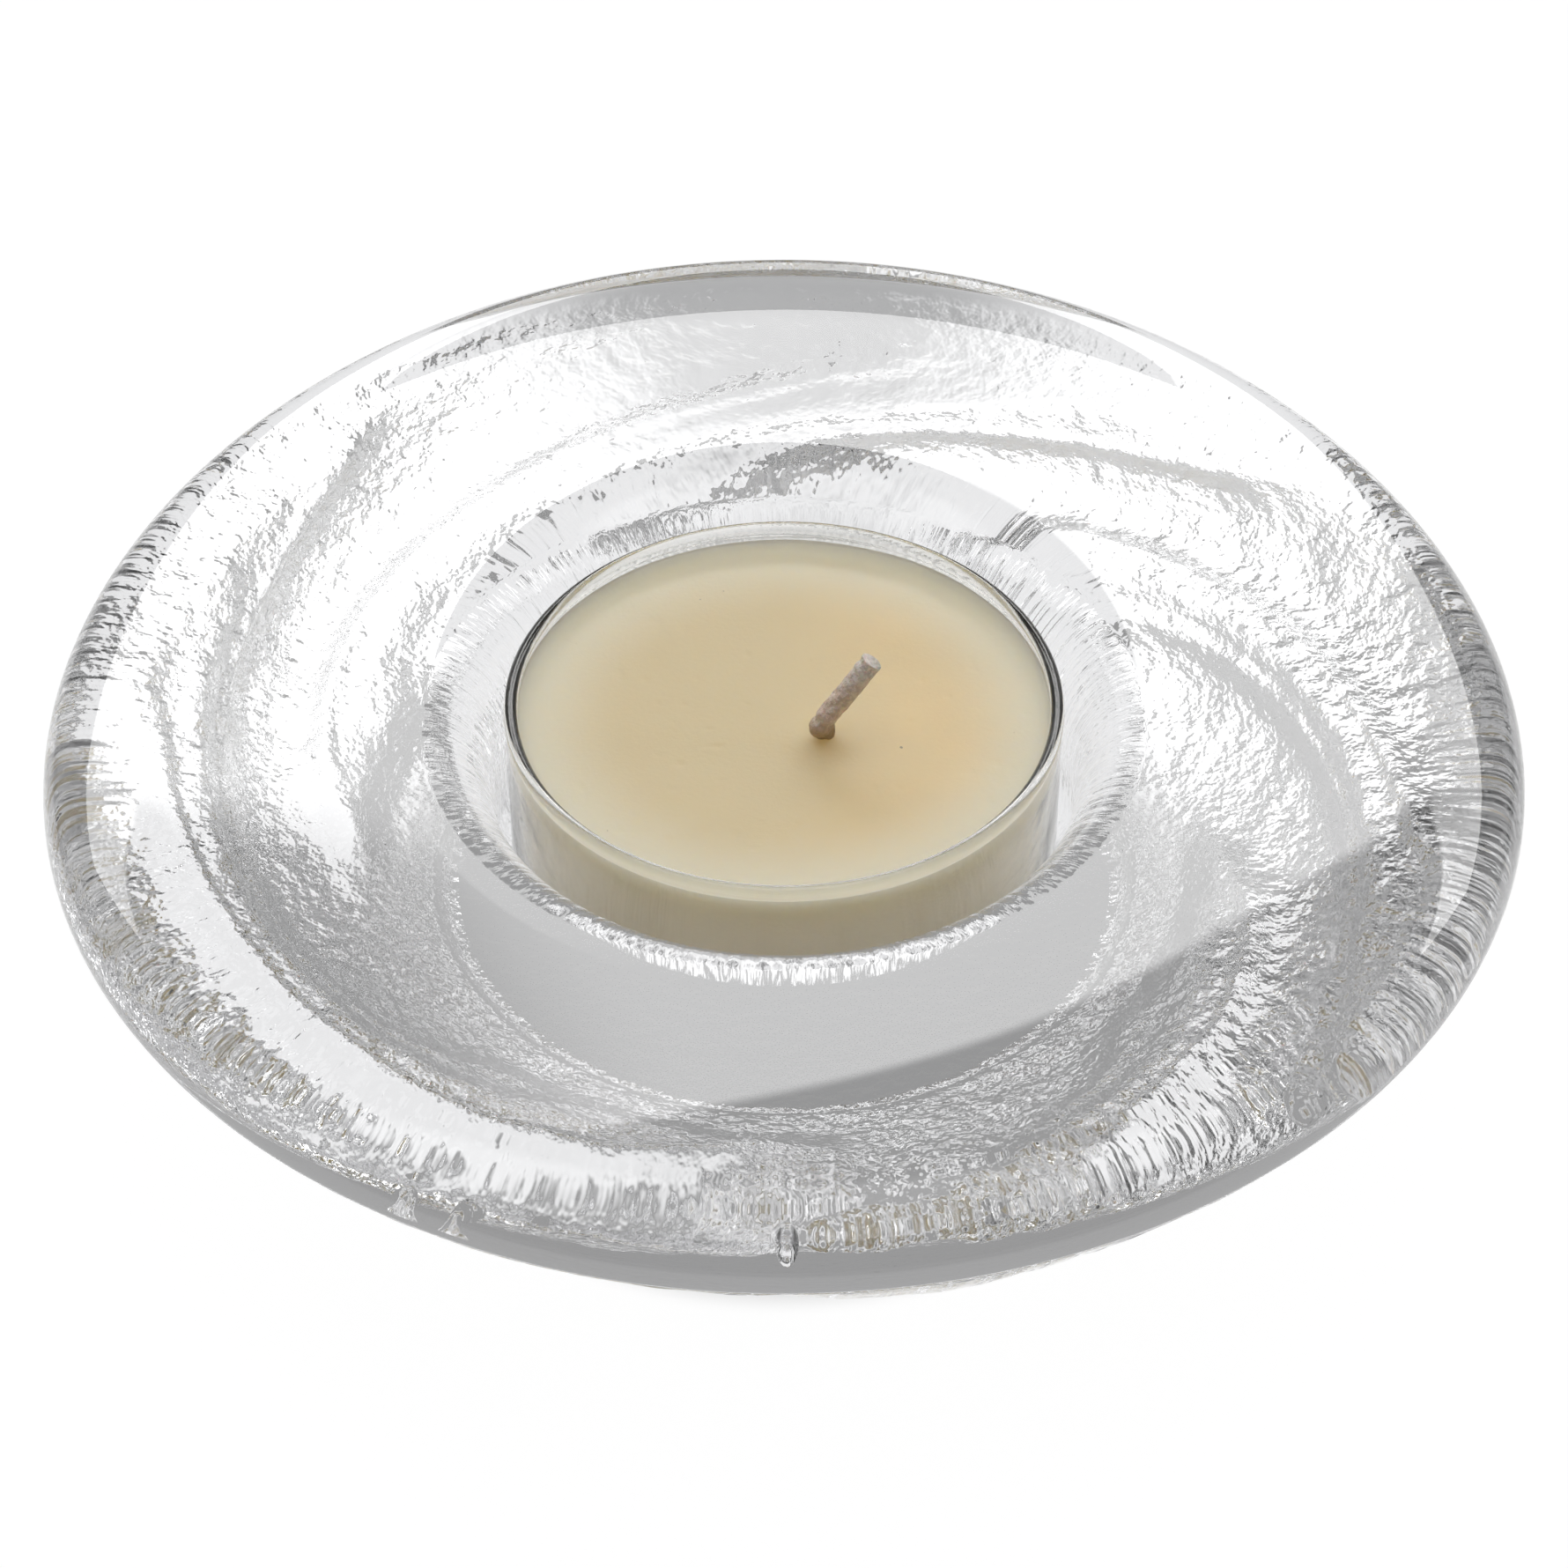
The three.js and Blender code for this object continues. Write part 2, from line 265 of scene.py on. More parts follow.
class NodeBench:
    """Puts nodes into one node tree, and joins them."""

    def __init__(self, tree: bpy.types.NodeTree) -> None:
        """Works on that tree."""
        self.tree = tree

    def add(self, kind: str, **settings: object) -> bpy.types.Node:
        """Adds a node of that kind.

        Args:
            kind: the node's type name.
            settings: its properties by name.

        Returns:
            The new node.
        """
        node = self.tree.nodes.new(kind)
        for name, value in settings.items():
            setattr(node, name, value)
        return node

    def join(self, source: bpy.types.NodeSocket, target: bpy.types.NodeSocket) -> None:
        """Links an output to an input."""
        self.tree.links.new(source, target)

    def feed(self, target: bpy.types.NodeSocket, value: object) -> None:
        """Links a socket to an input, or sets the input to a plain value."""
        if isinstance(value, bpy.types.NodeSocket):
            self.join(value, target)
        else:
            target.default_value = value

    def math(self, operation: str, *values: object, clamp: bool = False) -> bpy.types.NodeSocket:
        """A sum of one to three values, each a socket or a number.

        Args:
            operation: the Math node's operation.
            values: its inputs in order.
            clamp: whether the result stays between 0 and 1.

        Returns:
            The result's socket.
        """
        node = self.add("ShaderNodeMath", operation=operation, use_clamp=clamp)
        for target, value in zip(node.inputs, values):
            self.feed(target, value)
        return node.outputs[0]

    def ramp(self, value: object, low: float, high: float, to_low: float = 0.0,
             to_high: float = 1.0) -> bpy.types.NodeSocket:
        """Maps a value smoothly from one range to another.

        Args:
            value: the socket to map.
            low: where the range starts.
            high: where it ends.
            to_low: the result at its start.
            to_high: the result at its end.

        Returns:
            The result's socket.
        """
        node = self.add("ShaderNodeMapRange", interpolation_type="SMOOTHSTEP")
        for name, number in (("From Min", low), ("From Max", high), ("To Min", to_low), ("To Max", to_high)):
            node.inputs[name].default_value = number
        self.feed(node.inputs["Value"], value)
        return node.outputs["Result"]

    def radius(self, across: object, deep: object) -> bpy.types.NodeSocket:
        """Distance from the upright axis."""
        return self.math("SQRT", self.math("ADD", self.math("MULTIPLY", across, across),
                                           self.math("MULTIPLY", deep, deep)))

    def blend(self, share: object, first: object, second: object) -> bpy.types.NodeSocket:
        """Mixes two colours by a share from 0 to 1."""
        node = self.add("ShaderNodeMix", data_type="RGBA")
        self.feed(node.inputs["Factor"], share)
        self.feed(node.inputs["A"], first)
        self.feed(node.inputs["B"], second)
        return next(out for out in node.outputs if out.type == "RGBA")


@dataclass(frozen=True)
class SoftBox:
    """A lit panel far from the holder, placed by its bearing from straight back and its height."""

    left: float
    right: float
    bottom: float
    top: float
    glow: float
    edge: float = 1.0
    lean: float = 0.0
    side_edge: float = 1.0

    def mask(self, bench: NodeBench, bearing: object, height: object) -> bpy.types.NodeSocket:
        """Where the panel is, by direction.

        Args:
            bench: the node tree's bench.
            bearing: socket of the bearing in degrees, 0 straight back and positive to the right.
            height: socket of the height above the horizon in degrees.

        Returns:
            A socket that is 1 on the panel and 0 off it.
        """
        soft = self.edge / 2
        side = self.side_edge / 2
        leaned = bench.math("ADD", height, bench.math("MULTIPLY", bearing, self.lean))
        across = bench.math("MULTIPLY", bench.ramp(bearing, self.left - side, self.left + side),
                            bench.ramp(bearing, self.right + side, self.right - side))
        upright = bench.math("MULTIPLY", bench.ramp(leaned, self.bottom - soft, self.bottom + soft),
                             bench.ramp(leaned, self.top + soft, self.top - soft))
        return bench.math("MULTIPLY", across, upright)


@dataclass(frozen=True)
class Studio:
    """A white glowing floor with painted shade under the holder, a painted shadow patch behind it and a
    painted falloff far off, in a softly lit room: soft boxes behind and above, a dark side at the camera.
    """

    floor_size: float = 6.0
    floor_glow: float = 0.98
    # Painted shade: the floor glows less in a disc under the glass base.
    painted_shade_glow: float = 0.34
    painted_shade_start: float = 24.0
    painted_shade_end: float = 29.8
    # Painted shadow: a soft round patch 64 mm behind the holder's middle glows less.
    painted_shadow_glow: float = 0.5
    painted_shadow_middle: float = 64.0
    painted_shadow_start: float = 8.0
    painted_shadow_end: float = 23.0
    # Painted falloff: the floor glows less far from the holder.
    painted_falloff_glow: float = 0.22
    painted_falloff_start: float = 132.0
    painted_falloff_end: float = 255.0
    room_grey: float = 0.10
    camera_side: float = 0.04
    side_wall: float = 0.38
    boxes: tuple[SoftBox, ...] = (
        SoftBox(-48.0, 52.0, 31.0, 42.4, 4.6, 0.8, 0.0, 0.8),
        SoftBox(-2.4, 24.0, 41.0, 45.05, 4.6, 0.25, 0.42, 3.4),
        SoftBox(-200.0, 200.0, 62.0, 200.0, 1.5, 6.0, 0.0, 6.0),
    )

    def build_floor(self) -> bpy.types.Object:
        """Lays the pale glowing floor that the holder stands on, with painted shade under the base, a
        painted shadow patch behind the holder and a painted falloff far from it.
        """
        half = self.floor_size / 2 / MM
        corners = np.array([[-half, -half, 0], [half, -half, 0], [half, half, 0], [-half, half, 0]], float)
        floor = mesh_piece("studio_floor", corners, [(0, 1, 2, 3)], smooth=False)
        material = bpy.data.materials.new("studio_floor")
        material.use_nodes = True
        bench = NodeBench(material.node_tree)
        shader = material.node_tree.nodes["Principled BSDF"]
        place = bench.add("ShaderNodeTexCoord")
        reach = bench.add("ShaderNodeVectorMath", operation="LENGTH")
        bench.join(place.outputs["Object"], reach.inputs[0])
        # Painted shade under the base.
        glow = bench.ramp(reach.outputs["Value"], self.painted_shade_start * MM, self.painted_shade_end * MM,
                          self.painted_shade_glow, self.floor_glow)
        # Painted falloff far from the holder.
        glow = bench.math("MULTIPLY", glow, bench.ramp(reach.outputs["Value"], self.painted_falloff_start * MM,
                                                       self.painted_falloff_end * MM, 1.0, self.painted_falloff_glow))
        # Painted shadow patch behind the holder.
        offset = bench.add("ShaderNodeVectorMath", operation="DISTANCE")
        bench.join(place.outputs["Object"], offset.inputs[0])
        offset.inputs[1].default_value = (0.0, self.painted_shadow_middle * MM, 0.0)
        glow = bench.math("MULTIPLY", glow, bench.ramp(offset.outputs["Value"], self.painted_shadow_start * MM,
                                                       self.painted_shadow_end * MM, self.painted_shadow_glow, 1.0))
        tone = bench.add("ShaderNodeCombineColor")
        for channel in tone.inputs:
            bench.join(glow, channel)
        shader.inputs["Base Color"].default_value = (0.05, 0.05, 0.05, 1.0)
        shader.inputs["Roughness"].default_value = 1.0
        shader.inputs["Specular IOR Level"].default_value = 0.0
        bench.join(tone.outputs[0], shader.inputs["Emission Color"])
        shader.inputs["Emission Strength"].default_value = 1.0
        floor.data.materials.append(material)
        return floor

    def build_room(self) -> None:
        """Lights the room: soft boxes at the back, pale sides, a dark side at the camera."""
        world = bpy.data.worlds.new("studio_room")
        bpy.context.scene.world = world
        world.use_nodes = True
        bench = NodeBench(world.node_tree)
        place = bench.add("ShaderNodeTexCoord")
        split = bench.add("ShaderNodeSeparateXYZ")
        bench.join(place.outputs["Generated"], split.inputs[0])
        across, deep, high = split.outputs
        bearing = bench.math("DEGREES", bench.math("ARCTAN2", across, deep))
        height = bench.math("DEGREES", bench.math("ARCSINE", high))
        shade = (self.room_grey,) * 3 + (1.0,)
        shade = bench.blend(bench.ramp(bench.math("ABSOLUTE", across), 0.5, 0.8), shade,
                            (self.side_wall,) * 3 + (1.0,))
        shade = bench.blend(bench.ramp(deep, -0.15, -0.5), shade, (self.camera_side,) * 3 + (1.0,))
        for box in self.boxes:
            shade = bench.blend(box.mask(bench, bearing, height), shade, (box.glow,) * 3 + (1.0,))
        bench.join(shade, world.node_tree.nodes["Background"].inputs["Color"])

    def build(self) -> None:
        """Makes the floor and the room, and shows colours as they are."""
        self.build_floor()
        self.build_room()
        view = bpy.context.scene.view_settings
        view.view_transform = "Standard"
        cycles = bpy.context.scene.cycles
        cycles.max_bounces = 24
        cycles.transmission_bounces = 24
        cycles.glossy_bounces = 8


# ---------------------------------------------------------------- finishes


def noise(bench: NodeBench, place: object, size: float, detail: float = 2.0) -> bpy.types.NodeSocket:
    """Plain noise from 0 to 1 whose features have that size in millimetres."""
    node = bench.add("ShaderNodeTexNoise")
    bench.feed(node.inputs["Vector"], place)
    node.inputs["Scale"].default_value = 1 / (size * MM)
    node.inputs["Detail"].default_value = detail
    return node.outputs[0]


@dataclass(frozen=True)
class ChillMarks:
    """Fine ripples that the cold mould leaves in cast glass: pebbles, and streaks that run outwards."""

    pebble_size: float = 1.2
    fine_size: float = 0.5
    streaks_round: float = 210.0
    streak_length: float = 7.0
    rim: tuple[float, float] = (45.0, 49.0)
    front: tuple[float, float] = (20.0, -5.0)
    lip_radius: tuple[float, float] = (28.0, 27.0)
    lip_height: tuple[float, float] = (12.0, 15.0)
    pebble_share: float = 0.42
    fine_share: float = 0.14
    skin_height: tuple[float, float] = (24.6, 23.4)
    well_radius: tuple[float, float] = (26.0, 23.5)
    well_share: float = 0.7

    def group(self) -> bpy.types.NodeTree:
        """Makes the node group, from a place on the piece to a bump height from 0 to 1."""
        tree = bpy.data.node_groups.new("chill_marks", "ShaderNodeTree")
        tree.interface.new_socket("Place", in_out="INPUT", socket_type="NodeSocketVector")
        tree.interface.new_socket("Height", in_out="OUTPUT", socket_type="NodeSocketFloat")
        bench = NodeBench(tree)
        entry = bench.add("NodeGroupInput")
        result = bench.add("NodeGroupOutput")
        place = entry.outputs["Place"]
        split = bench.add("ShaderNodeSeparateXYZ")
        bench.join(place, split.inputs[0])
        across, deep, high = split.outputs
        radius = bench.radius(across, deep)
        spin = bench.add("ShaderNodeCombineXYZ")
        scale = self.streaks_round / FULL_TURN
        bench.join(bench.math("MULTIPLY", bench.math("DIVIDE", across, radius), scale), spin.inputs[0])
        bench.join(bench.math("MULTIPLY", bench.math("DIVIDE", deep, radius), scale), spin.inputs[1])
        along = bench.math("SUBTRACT", radius, high)
        bench.join(bench.math("MULTIPLY", along, 1 / (self.streak_length * MM)), spin.inputs[2])
        streaks = noise(bench, spin.outputs[0], 1 / MM)
        pebbles = noise(bench, place, self.pebble_size)
        fine = noise(bench, place, self.fine_size, 1.0)
        outward = bench.math("MULTIPLY", self.over(bench, radius, self.rim),
                             self.over(bench, deep, self.front))
        streaky = bench.math("MAXIMUM", outward,
                             bench.math("MULTIPLY", self.over(bench, radius, self.lip_radius),
                                        self.over(bench, high, self.lip_height)))
        rough = bench.math("ADD", bench.math("MULTIPLY", pebbles, self.pebble_share),
                           bench.math("MULTIPLY", fine, self.fine_share))
        mixed = bench.add("ShaderNodeMix", data_type="FLOAT")
        bench.feed(mixed.inputs[0], streaky)
        bench.feed(mixed.inputs[2], rough)
        bench.feed(mixed.inputs[3], streaks)
        under_well = bench.math("MULTIPLY", self.over(bench, radius, self.well_radius), self.well_share)
        below = bench.math("MAXIMUM", self.over(bench, high, self.skin_height), under_well)
        bench.join(bench.math("MULTIPLY", mixed.outputs[0], below), result.inputs["Height"])
        return tree

    @staticmethod
    def over(bench: NodeBench, value: object, limits: tuple[float, float]) -> bpy.types.NodeSocket:
        """Rises from 0 to 1 between two limits in millimetres."""
        return bench.ramp(value, limits[0] * MM, limits[1] * MM)


@dataclass(frozen=True)
class CastGlass:
    """Fire-polished clear crystal, with chill marks where it lay on the mould."""

    name: str = "cast_glass"
    index: float = 1.54
    roughness: float = 0.0
    tint: Colour = (0.88, 0.882, 0.892, 1.0)
    marks: ChillMarks = ChillMarks()
    mark_depth: float = 1.0

    def material(self) -> bpy.types.Material:
        """Makes the glass."""
        material = bpy.data.materials.new(self.name)
        material.use_nodes = True
        bench = NodeBench(material.node_tree)
        shader = material.node_tree.nodes["Principled BSDF"]
        shader.inputs["Base Color"].default_value = self.tint
        shader.inputs["Roughness"].default_value = self.roughness
        shader.inputs["IOR"].default_value = self.index
        shader.inputs["Transmission Weight"].default_value = 1.0
        place = bench.add("ShaderNodeTexCoord")
        marks = bench.add("ShaderNodeGroup", node_tree=self.marks.group())
        bench.join(place.outputs["Object"], marks.inputs["Place"])
        bump = bench.add("ShaderNodeBump")
        bump.inputs["Distance"].default_value = self.mark_depth * MM
        bump.inputs["Strength"].default_value = 1.0
        bench.join(marks.outputs["Height"], bump.inputs["Height"])
        bench.join(bump.outputs["Normal"], shader.inputs["Normal"])
        return material


class Mottle:
    """Cloudy and grainy variation that the tealight's finishes share."""

    cloud_size: float = 7.0
    grain_size: float = 0.35
    tree: bpy.types.NodeTree | None = None

    @classmethod
    def group(cls) -> bpy.types.NodeTree:
        """Makes the node group once: from a place, a cloud value and a grain value from 0 to 1."""
        if cls.tree:
            return cls.tree
        tree = bpy.data.node_groups.new("mottle", "ShaderNodeTree")
        tree.interface.new_socket("Place", in_out="INPUT", socket_type="NodeSocketVector")
        tree.interface.new_socket("Cloud", in_out="OUTPUT", socket_type="NodeSocketFloat")
        tree.interface.new_socket("Grain", in_out="OUTPUT", socket_type="NodeSocketFloat")
        bench = NodeBench(tree)
        place = bench.add("NodeGroupInput").outputs["Place"]
        result = bench.add("NodeGroupOutput")
        cloud = bench.ramp(noise(bench, place, cls.cloud_size, 3.0), 0.3, 0.7)
        grain = bench.ramp(noise(bench, place, cls.grain_size), 0.3, 0.7)
        bench.join(cloud, result.inputs["Cloud"])
        bench.join(grain, result.inputs["Grain"])
        cls.tree = tree
        return tree


@dataclass(frozen=True)
class DryFinish:
    """What the tealight's finishes have in common: a material with its place and its mottle."""

    name: str

    def start(self) -> tuple[bpy.types.Material, NodeBench, bpy.types.Node, bpy.types.Node, bpy.types.Node]:
        """Makes the material.

        Returns:
            The material, its bench, its shader, the place node and the mottle node.
        """
        material = bpy.data.materials.new(self.name)
        material.use_nodes = True
        bench = NodeBench(material.node_tree)
        shader = material.node_tree.nodes["Principled BSDF"]
        place = bench.add("ShaderNodeTexCoord")
        mottle = bench.add("ShaderNodeGroup", node_tree=Mottle.group())
        bench.join(place.outputs["Object"], mottle.inputs["Place"])
        return material, bench, shader, place, mottle

    @staticmethod
    def roughen(bench: NodeBench, shader: bpy.types.Node, value: object, spread: float, low: float) -> None:
        """Sets a roughness that rises with a value from low to low plus spread."""
        bench.join(bench.math("ADD", bench.math("MULTIPLY", value, spread), low), shader.inputs["Roughness"])

    @staticmethod
    def bump(bench: NodeBench, shader: bpy.types.Node, height: object, depth: float) -> None:
        """Adds a bump of that depth in millimetres."""
        bump = bench.add("ShaderNodeBump")
        bump.inputs["Distance"].default_value = depth * MM
        bench.feed(bump.inputs["Height"], height)
        bench.join(bump.outputs["Normal"], shader.inputs["Normal"])


@dataclass(frozen=True)
class CandleWax(DryFinish):
    """Cream wax with painted light and shade: painted brown shade towards the left, a painted gold glow
    towards the right, painted light that makes it paler towards the cup's wall, a faint painted glow over
    all, and a few dark specks.
    """

    name: str = "candle_wax"
    # Painted shade: this brown shows towards the left; the gold next to it is a painted glow towards the
    # right.
    middle: Colour = (0.68, 0.56, 0.34, 1.0)
    painted_glow_gold: Colour = (0.82, 0.62, 0.33, 1.0)
    # Painted light: this paler tone near the cup's wall stands for light coming through the wall.
    edge: Colour = (0.76, 0.71, 0.56, 1.0)
    # Painted glow: the wax gives off a little light, standing for light passing through it.
    glow: Colour = (0.95, 0.76, 0.40, 1.0)
    painted_glow_strength: float = 0.10
    speck: Colour = (0.30, 0.25, 0.17, 1.0)
    roughness: float = 0.38
    spread: float = 0.12

    def material(self) -> bpy.types.Material:
        """Makes the wax."""
        material, bench, shader, place, mottle = self.start()
        split = bench.add("ShaderNodeSeparateXYZ")
        bench.join(place.outputs["Object"], split.inputs[0])
        across, deep, _ = split.outputs
        radius = bench.radius(across, deep)
        # Painted shade and glow: brown towards the left, gold towards the right, patchy with the cloud.
        painted_glow_share = bench.math("MULTIPLY", bench.ramp(across, -4 * MM, 14 * MM),
                          bench.math("ADD", bench.math("MULTIPLY", mottle.outputs["Cloud"], 0.4), 0.6))
        colour = bench.blend(painted_glow_share, self.middle, self.painted_glow_gold)
        # Painted light: paler towards the cup's wall.
        colour = bench.blend(bench.ramp(radius, 11 * MM, 19 * MM), colour, self.edge)
        dots = bench.ramp(noise(bench, place.outputs["Object"], 0.8, 0.0), 0.885, 0.90)
        colour = bench.blend(dots, colour, self.speck)
        bench.join(colour, shader.inputs["Base Color"])
        self.roughen(bench, shader, mottle.outputs["Grain"], self.spread, self.roughness)
        shader.inputs["Subsurface Weight"].default_value = 0.8
        shader.inputs["Subsurface Radius"].default_value = (1.0, 0.8, 0.5)
        shader.inputs["Subsurface Scale"].default_value = 0.007
        # Painted glow over the whole wax.
        shader.inputs["Emission Color"].default_value = self.glow
        shader.inputs["Emission Strength"].default_value = self.painted_glow_strength
        self.bump(bench, shader, mottle.outputs["Grain"], 0.005)
        return material


@dataclass(frozen=True)
class ClearCup(DryFinish):
    """Clear moulded plastic with a faint haze of handling marks."""

    name: str = "clear_cup"
    index: float = 1.50
    tint: Colour = (0.98, 0.975, 0.95, 1.0)
    hazed: Colour = (0.95, 0.945, 0.91, 1.0)
    roughness: float = 0.06
    spread: float = 0.05

    def material(self) -> bpy.types.Material:
        """Makes the plastic."""
        material, bench, shader, place, mottle = self.start()
        bench.join(bench.blend(mottle.outputs["Cloud"], self.tint, self.hazed), shader.inputs["Base Color"])
        self.roughen(bench, shader, mottle.outputs["Grain"], self.spread, self.roughness)
        shader.inputs["IOR"].default_value = self.index
        shader.inputs["Transmission Weight"].default_value = 1.0
        self.bump(bench, shader, mottle.outputs["Cloud"], 0.02)
        return material


@dataclass(frozen=True)
class WaxedCotton(DryFinish):
    """Cotton soaked in wax: brown with painted shade where it leaves the wax, pinkish above, pale at the
    tip.
    """

    name: str = "waxed_cotton"
    # Painted shade: the brown low on the wick stands for the shaded stub where it leaves the wax.
    painted_shade_root: Colour = (0.50, 0.35, 0.20, 1.0)
    shaft: Colour = (0.95, 0.79, 0.67, 1.0)
    tip: Colour = (0.98, 0.92, 0.84, 1.0)
    dark: Colour = (0.38, 0.25, 0.17, 1.0)
    roughness: float = 0.3
    spread: float = 0.25
    fibre_share: float = 0.35

    def material(self) -> bpy.types.Material:
        """Makes the cotton."""
        material, bench, shader, place, mottle = self.start()
        split = bench.add("ShaderNodeSeparateXYZ")
        bench.join(place.outputs["Object"], split.inputs[0])
        high = split.outputs[2]
        # Painted shade low on the wick, fading into the pinkish shaft.
        colour = bench.blend(bench.ramp(high, 31.4 * MM, 33.4 * MM), self.painted_shade_root, self.shaft)
        colour = bench.blend(bench.ramp(high, 35.2 * MM, 37.3 * MM), colour, self.tip)
        fibres = bench.math("MULTIPLY", mottle.outputs["Grain"], self.fibre_share)
        colour = bench.blend(fibres, colour, self.dark)
        bench.join(colour, shader.inputs["Base Color"])
        self.roughen(bench, shader, mottle.outputs["Cloud"], self.spread, self.roughness)
        shader.inputs["Subsurface Weight"].default_value = 0.35
        shader.inputs["Subsurface Scale"].default_value = 0.0006
        self.bump(bench, shader, mottle.outputs["Grain"], 0.08)
        return material


@dataclass(frozen=True)
class StampedTin(DryFinish):
    """Dull stamped tin plate with fine press marks."""

    name: str = "stamped_tin"
    bright: Colour = (0.62, 0.62, 0.60, 1.0)
    dull: Colour = (0.38, 0.37, 0.35, 1.0)
    roughness: float = 0.25
    spread: float = 0.2

    def material(self) -> bpy.types.Material:
        """Makes the tin."""
        material, bench, shader, place, mottle = self.start()
        bench.join(bench.blend(mottle.outputs["Cloud"], self.bright, self.dull), shader.inputs["Base Color"])
        self.roughen(bench, shader, mottle.outputs["Grain"], self.spread, self.roughness)
        shader.inputs["Metallic"].default_value = 1.0
        self.bump(bench, shader, mottle.outputs["Grain"], 0.02)
        return material


# ---------------------------------------------------------------- the glass holder


@dataclass
class SwirlRelief:
    """Four channels that wind out from near the base to the rim."""

    arms: int = 4
    depth: float = 3.2
    sweep: float = 1.75
    start: float = 1.22
    inner_radius: float = 28.0
    outer_radius: float = 53.0
    sharpness: float = 1.6
    inner_fade: float = 0.14
    outer_fade: float = 0.14
    edge_depth: float = 0.95
    edge_phase: float = 0.62
    edge_width: float = 0.15

    def share(self, radius: Array) -> Array:
        """How far out a radius is, from 0 at the channels' inner ends to 1 at the widest circle."""
        return np.clip((radius - self.inner_radius) / (self.outer_radius - self.inner_radius), 0.0, 1.0)

    def channel_depth(self, bearing: Array, share: Array) -> Array:
        """Depth of the relief at bearings and shares of the way out."""
        turned_to = self.start - self.sweep * smoother_rise(share)
        wave = 0.5 + 0.5 * np.cos(self.arms * (bearing - turned_to))
        ends = (smooth_rise(share, 0.0, self.inner_fade)
                * (1.0 - smooth_rise(share, 1.0 - self.outer_fade, 1.0)))
        from_middle = np.abs(np.mod(bearing - turned_to + math.pi / self.arms, FULL_TURN / self.arms)
                             - math.pi / self.arms) * self.arms / 2
        edges = np.exp(-(((from_middle - self.edge_phase) / self.edge_width) ** 2))
        return (self.depth * wave**self.sharpness + self.edge_depth * edges) * ends


@dataclass
class MouldSkin:
    """Ripples of the glass that lay on the mould, as real relief."""

    pebble_depth: float = 0.24
    pebble_size: float = 3.2
    small_depth: float = 0.11
    small_size: float = 1.4
    streak_depth: float = 0.24
    streaks_round: float = 150.0
    streak_length: float = 9.0
    streak_start: float = 45.0
    streak_full: float = 49.0
    streak_front: tuple[float, float] = (-0.5, 0.2)
    lap_depth: float = 0.22
    lap_length: float = 16.0
    lap_height: float = 1.5
    lap_start: float = 48.5
    lap_full: float = 51.0
    inset: float = 0.5

    def relief(self, radius: Array, turn: Array, height: Array) -> Array:
        """Height of the skin above the plain surface at radii, bearings and heights."""
        place = np.stack([radius * np.cos(turn), radius * np.sin(turn), height], -1)
        pebbles = (self.pebble_depth * lattice_noise(place / self.pebble_size, 3)
                   + self.small_depth * lattice_noise(place / self.small_size, 5))
        spin = self.streaks_round / FULL_TURN
        ribbon = np.stack([spin * np.cos(turn), spin * np.sin(turn),
                           (radius - height) / self.streak_length], -1)
        streaks = self.streak_depth * lattice_noise(ribbon, 7)
        outer = (smooth_rise(radius, self.streak_start, self.streak_full)
                 * smooth_rise(-np.sin(turn), *self.streak_front))
        laps = self.lap_depth * lattice_noise(place / (self.lap_length, self.lap_length, self.lap_height), 9)
        rim = smooth_rise(radius, self.lap_start, self.lap_full)
        return pebbles * (1.0 - 0.6 * outer) + streaks * outer + laps * rim


@dataclass
class TrappedBubble:
    """A small air bubble that the casting left near the front of the rim."""

    place: tuple[float, float, float] = (0.2, -48.0, 24.6)
    width: float = 1.7
    height: float = 2.3
    rings: int = 15
    segments: int = 32

    def add_to(self, points: Array, faces: list[list[int]]) -> tuple[Array, list[list[int]]]:
        """Adds the bubble's wall, which faces inwards, to a solid.

        Args:
            points: the solid's points.
            faces: the solid's faces.

        Returns:
            The points and faces with the bubble's.
        """
        turn = np.linspace(0.0, math.pi, self.rings + 2)
        section = np.stack([self.width / 2 * np.sin(turn), -self.height / 2 * np.cos(turn)], 1)
        ball, ball_faces = turned_solid(section, self.segments)
        first = len(points)
        inward = [[first + corner for corner in reversed(face)] for face in ball_faces]
        return np.concatenate([points, ball + self.place]), faces + inward


